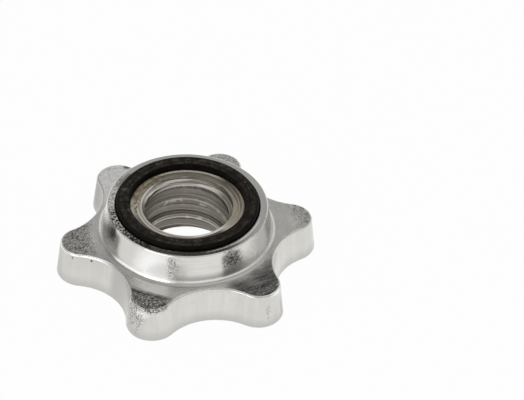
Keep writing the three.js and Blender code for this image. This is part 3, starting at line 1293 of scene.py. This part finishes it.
@dataclass
class StarNut:
    """The plated casting: star plate, boss, rim, ring groove, lip and threaded bore."""

    tip_reach: float
    rim_height: float
    ring: RubberRing

    # Bore and lip
    bore_radius: float = 11.7 * MM
    lip_chamfer: float = 1.1 * MM
    lip_drop: float = 0.6 * MM
    lip_round: float = 0.15 * MM
    countersink: float = 2.0 * MM

    # Groove, rim and boss
    groove_clearance: float = 0.1 * MM
    groove_chamfer: float = 0.35 * MM
    rim_width: float = 2.4 * MM
    rim_round: float = 0.45 * MM
    boss_lean: float = 1.6 * MM
    boss_height: float = 9.1 * MM
    foot_fillet: float = 1.5 * MM
    foot_ledge: float = 0.05 * MM

    # Star plate
    lobes: int = 6
    tip_radius: float = 7.3 * MM
    side_lean: float = 1.25 * MM
    crown_rise: float = 0.3 * MM
    back_round: float = 0.9 * MM
    front_round: float = 0.6 * MM

    # Thread
    thread_pitch: float = THREAD_PITCH
    thread_depth: float = 1.05 * MM
    thread_crest: float = 1.6 * MM
    thread_flank: float = 0.8 * MM
    thread_round: float = 0.14 * MM
    crest_height: float = THREAD_CREST_HEIGHT
    crest_bearing: float = THREAD_CREST_BEARING

    # How far the cast skin may be drawn in, and by which waves
    side_wander: float = 0.08 * MM
    face_wander: float = 0.05 * MM
    wall_wander: float = 0.04 * MM
    rim_wander: float = 0.08 * MM
    lip_wander: float = 0.05 * MM
    broad_waves: float = 7 * MM
    fine_waves: float = 1.4 * MM
    usual_share: float = 0.45
    broad_share: float = 0.6
    fine_share: float = 0.35

    # How many stretches each part of the mesh has
    tip_steps: int = 44
    valley_steps: int = 40
    back_steps: int = 9
    corner_steps: int = 6
    side_steps: int = 12
    face_steps: int = 14
    fillet_steps: int = 9
    wall_steps: int = 10
    rim_steps: int = 6
    lip_round_steps: int = 3
    lip_steps: int = 7
    thread_steps: int = 3

    name: str = "star_nut_casting"

    @classmethod
    def from_frame(cls, ring: RubberRing) -> "StarNut":
        """Reads the nut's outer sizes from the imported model.

        Args:
            ring: The ring that its groove holds.

        Returns:
            The nut's sizes.
        """
        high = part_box("star_nut")[1]
        # The round of the back edge takes off some of the reach that the sharp corner has
        lean = math.atan2(cls.side_lean, high.z - cls.boss_height)
        rounded_off = cls.back_round * (1 / math.tan((math.pi / 2 - lean) / 2) - 1)
        return cls(high.x + rounded_off, high.z, ring)

    @property
    def plate_edge(self) -> float:
        """Thickness of the star plate at the lobe ends."""
        return self.rim_height - self.boss_height

    @property
    def lip_height(self) -> float:
        """Height of the lip round the bore."""
        return self.rim_height - self.lip_drop

    @property
    def groove_outer(self) -> float:
        """Radius of the groove's outer wall."""
        return self.ring.outer_radius + self.groove_clearance

    @property
    def groove_inner(self) -> float:
        """Radius of the groove's inner wall."""
        return self.ring.inner_radius - self.groove_clearance

    @property
    def rim_radius(self) -> float:
        """Outer radius of the rim."""
        return self.groove_outer + self.rim_width

    @property
    def foot_radius(self) -> float:
        """Radius of the boss at its foot."""
        return self.rim_radius + self.boss_lean

    def outline(self, inset: float) -> np.ndarray:
        """The star's outline, drawn in by inset all round.

        Args:
            inset: How far it is drawn in.

        Returns:
            Its points (x, y), once round from the first lobe's flank.
        """
        half_pitch = math.pi / self.lobes
        tip_distance = self.tip_reach - self.tip_radius
        floor = self.foot_radius + self.foot_fillet + self.foot_ledge + self.front_round + self.side_lean
        overlap = self.tip_radius + tip_distance * math.cos(half_pitch) - floor
        gap_squared = tip_distance**2 + floor**2 - 2 * tip_distance * floor * math.cos(half_pitch)
        valley_radius = (gap_squared - self.tip_radius**2) / (2 * overlap)
        valley_distance = floor + valley_radius
        valley_x = valley_distance * math.cos(half_pitch)
        valley_y = valley_distance * math.sin(half_pitch)
        meeting = math.atan2(valley_y, valley_x - tip_distance)
        tip = np.linspace(-meeting, meeting, self.tip_steps, endpoint=False)
        valley = math.pi + np.linspace(meeting, 2 * half_pitch - meeting, self.valley_steps, endpoint=False)
        x = np.concatenate([
            tip_distance + (self.tip_radius - inset) * np.cos(tip),
            valley_x + (valley_radius + inset) * np.cos(valley),
        ])
        y = np.concatenate([
            (self.tip_radius - inset) * np.sin(tip),
            valley_y + (valley_radius + inset) * np.sin(valley),
        ])
        turns = 2 * half_pitch * np.arange(self.lobes)[:, None]
        return np.stack([
            (x * np.cos(turns) - y * np.sin(turns)).ravel(),
            (x * np.sin(turns) + y * np.cos(turns)).ravel(),
        ], axis=1)

    def face_height(self, radius: Length) -> Length:
        """Height of the star plate's front face, which falls slightly towards the lobe ends.

        Args:
            radius: Distance from the bore's axis.

        Returns:
            The height there.
        """
        edge_reach = self.tip_reach - self.side_lean
        share = (edge_reach - radius) / (edge_reach - self.foot_radius)
        return self.plate_edge + self.crown_rise * share

    def side_rows(self) -> list[Row]:
        """The leaning cast side.

        Returns:
            Lobed rows from the back face's edge up to the front face's edge.
        """
        inside_back = Vector((self.tip_radius, 0.0))
        back_corner = Vector((0.0, 0.0))
        front_corner = Vector((self.side_lean, self.plate_edge))
        inside_front = Vector((self.tip_radius, self.plate_edge))
        back = round_corner(inside_back, back_corner, front_corner, self.back_round, self.corner_steps)
        front = round_corner(back_corner, front_corner, inside_front, self.front_round, self.corner_steps)
        profile = [*back, *even_points(back[-1], front[0], self.side_steps), *front]
        edge_radius = np.linalg.norm(self.outline(front[-1].x), axis=1)
        rise = self.face_height(edge_radius) - self.plate_edge
        rows = []
        for spot in profile:
            height = spot.y + rise * spot.y / self.plate_edge
            points = np.column_stack([self.outline(spot.x), height])
            zone = Zone.FACE if spot == profile[-1] else Zone.SIDE
            rows.append(Row(points, zone, self.side_wander))
        return rows

    def face_rows(self, edge: np.ndarray, bearings: np.ndarray, end: float) -> list[Row]:
        """The star plate's front face.

        Args:
            edge: The points of the star's edge.
            bearings: The direction of each of them.
            end: The radius at which the boss's fillet starts.

        Returns:
            Rows from the star's edge in to the fillet.
        """
        edge_radius = np.linalg.norm(edge[:, :2], axis=1)
        rows = []
        for share in np.linspace(0.0, 1.0, self.face_steps, endpoint=False)[1:]:
            radius = edge_radius + (end - edge_radius) * share
            points = points_round(bearings, radius, self.face_height(radius))
            rows.append(Row(points, Zone.FACE, self.face_wander))
        return rows

    def boss_rows(self, bearings: np.ndarray) -> tuple[list[Row], float]:
        """Fillet, boss wall, rim, groove and lip.

        Args:
            bearings: The direction of each column of points.

        Returns:
            The rows in order, and the radius at which the fillet starts.
        """
        outside = Vector((self.tip_reach, self.face_height(self.tip_reach)))
        foot = Vector((self.foot_radius, self.face_height(self.foot_radius)))
        rim = Vector((self.rim_radius, self.rim_height))
        land_end = Vector((self.groove_outer + self.groove_chamfer, self.rim_height))
        fillet = round_corner(outside, foot, rim, self.foot_fillet, self.fillet_steps)
        edge = round_corner(foot, rim, land_end, self.rim_round, self.corner_steps)
        wall = even_points(fillet[-1], edge[0], self.wall_steps)
        land = [edge[-1], *even_points(edge[-1], land_end, self.rim_steps)]
        groove_top = Vector((self.groove_outer, self.rim_height - self.groove_chamfer))
        groove_floor_outer = Vector((self.groove_outer, self.ring.floor))
        groove_floor_inner = Vector((self.groove_inner, self.ring.floor))
        lip_outer = Vector((self.groove_inner, self.lip_height))
        lip_inner = Vector((self.bore_radius + self.lip_chamfer, self.lip_height))
        lip = round_corner(groove_floor_inner, lip_outer, lip_inner, self.lip_round, self.lip_round_steps)
        lip += even_points(lip[-1], lip_inner, self.lip_steps)
        stretches = [
            (fillet, Zone.BOSS, 0.0),
            (wall, Zone.BOSS, self.wall_wander),
            (edge[:-1], Zone.BOSS, self.rim_wander),
            (land, Zone.RIM, self.rim_wander),
            ([land_end], Zone.RIM, 0.0),
            ([groove_top, groove_floor_outer, groove_floor_inner], Zone.GROOVE, 0.0),
            (lip, Zone.LIP, self.lip_wander),
            ([lip_inner], Zone.BORE, 0.0),
        ]
        rows = [
            Row(points_round(bearings, spot.x, spot.y), zone, wander)
            for spots, zone, wander in stretches
            for spot in spots
        ]
        return rows, fillet[0].x

    def thread_profile(self) -> list[Vector]:
        """One turn of the thread, from the middle of a crest up to the middle of the next.

        Returns:
            Its points (height, depth below the crest), the last one left out.
        """
        half_crest = self.thread_crest / 2
        corners = [
            Vector((half_crest, 0.0)),
            Vector((half_crest + self.thread_flank, self.thread_depth)),
            Vector((self.thread_pitch - half_crest - self.thread_flank, self.thread_depth)),
            Vector((self.thread_pitch - half_crest, 0.0)),
        ]
        start = Vector((0.0, 0.0))
        ends = [start, *corners, Vector((self.thread_pitch, 0.0))]
        profile = [start]
        for before, corner, after in zip(ends, corners, ends[2:]):
            arc = round_corner(before, corner, after, self.thread_round, self.thread_steps)
            profile += [*even_points(profile[-1], arc[0], self.thread_steps), *arc]
        return [*profile, *even_points(profile[-1], ends[-1], self.thread_steps)]

    def bore_grid(self, bearings: np.ndarray) -> tuple[np.ndarray, int]:
        """The threaded bore, as rows that climb with the right-hand thread.

        Rows past an end of the bore lie on that end's edge, and merge with it afterwards.

        Args:
            bearings: The direction of each column of points, once round.

        Returns:
            The points as (row, column, 3), and how many rows make one turn.
        """
        profile = self.thread_profile()
        lead = self.thread_pitch * (bearings - math.radians(self.crest_bearing)) / (2 * math.pi)
        first = math.floor((0.0 - self.crest_height - lead.max()) / self.thread_pitch)
        last = math.ceil((self.lip_height - self.crest_height - lead.min()) / self.thread_pitch)
        rows = []
        for turn in range(first, last + 1):
            for spot in profile:
                climb = self.crest_height + lead + turn * self.thread_pitch + spot.x
                height = np.clip(climb, 0.0, self.lip_height)
                top_cone = self.bore_radius + self.lip_chamfer - (self.lip_height - height)
                back_cone = self.bore_radius + self.countersink - height
                radius = np.maximum(self.bore_radius + spot.y, np.maximum(top_cone, back_cone))
                radius = np.where(climb >= self.lip_height, self.bore_radius + self.lip_chamfer, radius)
                radius = np.where(climb <= 0.0, self.bore_radius + self.countersink, radius)
                rows.append(points_round(bearings, radius, height))
        return np.array(rows), len(profile)

    def bore_faces(self, first: int, rows: int, columns: int, per_turn: int) -> list[tuple[int, ...]]:
        """The skin of the bore. Where it closes, it goes on a turn of the thread higher.

        Args:
            first: Index of the grid's first point.
            rows: How many rows the grid has.
            columns: How many points each row has.
            per_turn: How many rows make one turn of the thread.

        Returns:
            The faces, as indices of points.
        """
        faces = []
        for index in range(rows - 1):
            here = first + index * columns
            for low in range(here, here + columns - 1):
                faces.append((low, low + 1, low + 1 + columns, low + columns))
            if index + per_turn + 1 < rows:
                last = here + columns - 1
                start = here + per_turn * columns
                faces.append((last, start, start + columns, last + columns))
        return faces

    def back_rows(self, bearings: np.ndarray, edge: np.ndarray) -> list[Row]:
        """The flat back face.

        Args:
            bearings: The direction of each column of points.
            edge: The points of its outer edge.

        Returns:
            Rows from the bore's countersink out to the edge.
        """
        inner = self.bore_radius + self.countersink
        edge_radius = np.linalg.norm(edge[:, :2], axis=1)
        rows = []
        for share in np.linspace(0.0, 1.0, self.back_steps, endpoint=False):
            radius = inner + (edge_radius - inner) * share
            rows.append(Row(points_round(bearings, radius, 0.0), Zone.BACK))
        return rows

    def build(self) -> bpy.types.Object:
        """Lofts the rows into one closed skin and joins the threaded bore to it.

        Returns:
            The nut's object.
        """
        side = self.side_rows()
        edge = side[-1].points
        bearings = np.unwrap(np.arctan2(edge[:, 1], edge[:, 0]))
        boss, fillet_start = self.boss_rows(bearings)
        face = self.face_rows(edge, bearings, fillet_start)
        rows = [*self.back_rows(bearings, side[0].points), *side, *face, *boss]
        columns = len(bearings)
        faces, slots, wander = [], [], []
        for index, row in enumerate(rows):
            wander += [row.wander] * columns
            if index + 1 < len(rows):
                faces += band(index * columns, (index + 1) * columns, columns)
                slots += [row.zone.slot] * columns
        grid, per_turn = self.bore_grid(bearings)
        bore = self.bore_faces(len(rows) * columns, len(grid), columns, per_turn)
        points = np.concatenate([*(row.points for row in rows), *grid])
        piece = made_object(
            self.name,
            points,
            faces + bore,
            [zone.value.material() for zone in Zone],
            slots + [Zone.BORE.slot] * len(bore),
            wander + [0.0] * (len(points) - len(wander)),
        )
        self.soften(piece)
        return piece

    def soften(self, piece: bpy.types.Object) -> None:
        """Draws the skin in here and there, as casting and hand grinding leave it.

        A broad and a fine noise add to the usual share of what each point may be drawn in.

        Args:
            piece: The nut, whose points say how far they may be drawn in.
        """
        mesh = piece.data
        reach = np.empty(len(mesh.vertices))
        mesh.attributes[WANDER].data.foreach_get("value", reach)
        drawn_in = []
        for vertex, most in zip(mesh.vertices, reach):
            broad = self.broad_share * noise.noise(vertex.co / self.broad_waves)
            fine = self.fine_share * noise.noise(vertex.co / self.fine_waves)
            share = max(0.0, min(1.0, self.usual_share + broad + fine))
            drawn_in.append(vertex.co - vertex.normal * (most * share))
        for vertex, place in zip(mesh.vertices, drawn_in):
            vertex.co = place
        mesh.attributes.remove(mesh.attributes[WANDER])
        mesh.update()

    def dress(self, piece: bpy.types.Object) -> None:
        """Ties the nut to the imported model.

        Args:
            piece: The nut's object.
        """
        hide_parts("star_nut")
        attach(piece, ROOT)


@dataclass(frozen=True)
class Softbox:
    """A soft lamp that faces the collar."""

    name: str
    azimuth: float
    elevation: float
    distance: float
    width: float
    level: float

    def build(self) -> bpy.types.Object:
        """Makes the lamp. Its level is how brightly it alone lights a surface that faces it.

        Returns:
            The lamp.
        """
        light = bpy.data.lights.new(self.name, "AREA")
        light.shape = "SQUARE"
        light.size = self.width
        light.energy = self.level * math.pi * math.pi * self.distance**2
        lamp = linked_object(self.name, light)
        away = Matrix.Translation((0.0, 0.0, self.distance))
        lamp.matrix_world = turned_towards(self.azimuth, self.elevation) @ away
        lamp.visible_camera = False
        return lamp


@dataclass(frozen=True)
class GreyCard:
    """A grey card bent round the set, which only reflections see."""

    name: str
    low: float
    high: float
    distance: float
    tone: float
    steps: int = 96
    rows: int = 9

    def build(self) -> bpy.types.Object:
        """Makes the card as a band of a dome between two elevations.

        Returns:
            The card.
        """
        bearings = np.linspace(0.0, 2 * math.pi, self.steps, endpoint=False)
        rows = [
            points_round(bearings, self.distance * math.cos(elevation), self.distance * math.sin(elevation))
            for elevation in np.radians(np.linspace(self.low, self.high, self.rows))
        ]
        faces = []
        for index in range(self.rows - 1):
            faces += band(index * self.steps, (index + 1) * self.steps, self.steps)
        material, graph = empty_material(self.name)
        glow = graph.node("ShaderNodeEmission", {}, {"Color": opaque((self.tone,) * 3)})
        graph.node("ShaderNodeOutputMaterial", {}, {"Surface": glow})
        card = made_object(self.name, np.concatenate(rows), faces, [material])
        card.visible_camera = False
        card.visible_diffuse = False
        card.visible_shadow = False
        card.visible_transmission = False
        return card


@dataclass
class Studio:
    """The pale set: floor, surroundings, grey cards, lamp and camera."""

    # Floor and surroundings
    floor_half_width: float = 3.0
    floor_colour: Colour = (0.96, 0.96, 0.96)
    floor_glow: float = 0.97
    ambient: float = 0.55

    # Camera
    lens: float = 208.85
    heading: float = -14.02
    elevation: float = 39.789
    roll: float = 2.4377
    distance: float = 857.28 * MM
    aside: float = 20.61 * MM
    above: float = 17.29 * MM
    sensor_width: float = 36.0
    clip_start: float = 0.05

    # Cards and lamp
    lighting: tuple[Union[GreyCard, Softbox], ...] = (
        GreyCard("grey_ring", low=24.0, high=54.0, distance=1.1, tone=0.50),
        GreyCard("grey_top", low=68.0, high=89.5, distance=1.1, tone=0.60),
        Softbox("front_softbox", azimuth=-50.0, elevation=22.0, distance=1.0, width=0.6, level=0.15),
    )

    def seen_directly(self, graph: Graph) -> Socket:
        """Tells what the camera sees from what only lights the set.

        Args:
            graph: The node tree that asks.

        Returns:
            1 for what the camera sees itself, in metal or through glass, and else 0.
        """
        camera, glossy, through = (
            graph.node("ShaderNodeLightPath", output=ray)
            for ray in ("Is Camera Ray", "Is Glossy Ray", "Is Transmission Ray")
        )
        return camera.larger(glossy).larger(through)

    def build_floor(self) -> bpy.types.Object:
        """Makes the white floor, which keeps a light shadow of the collar.

        Returns:
            The floor.
        """
        half = self.floor_half_width
        corners = [Vector((x, y, 0)) for x, y in ((-half, -half), (half, -half), (half, half), (-half, half))]
        material, graph = empty_material("white_floor")
        paper = graph.node("ShaderNodeBsdfDiffuse", {}, {"Color": opaque(self.floor_colour)})
        glow = graph.node("ShaderNodeEmission", {}, {"Color": opaque(WHITE), "Strength": 1.0})
        share = self.seen_directly(graph) * self.floor_glow
        mixed = graph.node("ShaderNodeMixShader", {}, {0: share, 1: paper, 2: glow})
        graph.node("ShaderNodeOutputMaterial", {}, {"Surface": mixed})
        floor = made_object("floor", corners, [(0, 1, 2, 3)], [material])
        return floor

    def build_world(self) -> None:
        """Sets the white surroundings, which light the collar at a plain level."""
        world = bpy.data.worlds.new("white_surroundings")
        world.use_nodes = True
        graph = Graph(world.node_tree)
        strength = self.ambient + (1 - self.ambient) * self.seen_directly(graph)
        glow = graph.node("ShaderNodeBackground", {}, {"Color": opaque(WHITE), "Strength": strength})
        graph.node("ShaderNodeOutputWorld", {}, {"Surface": glow})
        bpy.context.scene.world = world

    def build_camera(self) -> bpy.types.Object:
        """Makes the camera, fitted to the photographed outlines.

        Returns:
            The camera.
        """
        data = bpy.data.cameras.new("camera")
        data.lens = self.lens
        data.sensor_width = self.sensor_width
        data.clip_start = self.clip_start
        camera = linked_object("camera", data)
        away = Matrix.Translation((self.aside, self.above, self.distance))
        roll = Matrix.Rotation(math.radians(self.roll), 4, "Z")
        camera.matrix_world = turned_towards(self.heading, self.elevation) @ away @ roll
        bpy.context.scene.camera = camera
        return camera

    def build(self) -> None:
        """Makes the whole set."""
        bpy.context.scene.view_settings.view_transform = "Standard"
        self.build_camera()
        self.build_world()
        self.build_floor()
        for item in self.lighting:
            item.build()


def main() -> None:
    """Builds the set and the collar, and reports each piece."""
    logging.basicConfig(level=logging.INFO, format="%(name)s: %(message)s")
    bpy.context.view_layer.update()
    Studio().build()
    ring = RubberRing.from_frame(width=3.8 * MM)
    nut = StarNut.from_frame(ring)
    for part in (nut, ring):
        piece = part.build()
        part.dress(piece)
        piece.data.calc_loop_triangles()
        log.info("%s has %d triangles", piece.name, len(piece.data.loop_triangles))


if __name__ == "__main__":
    main()
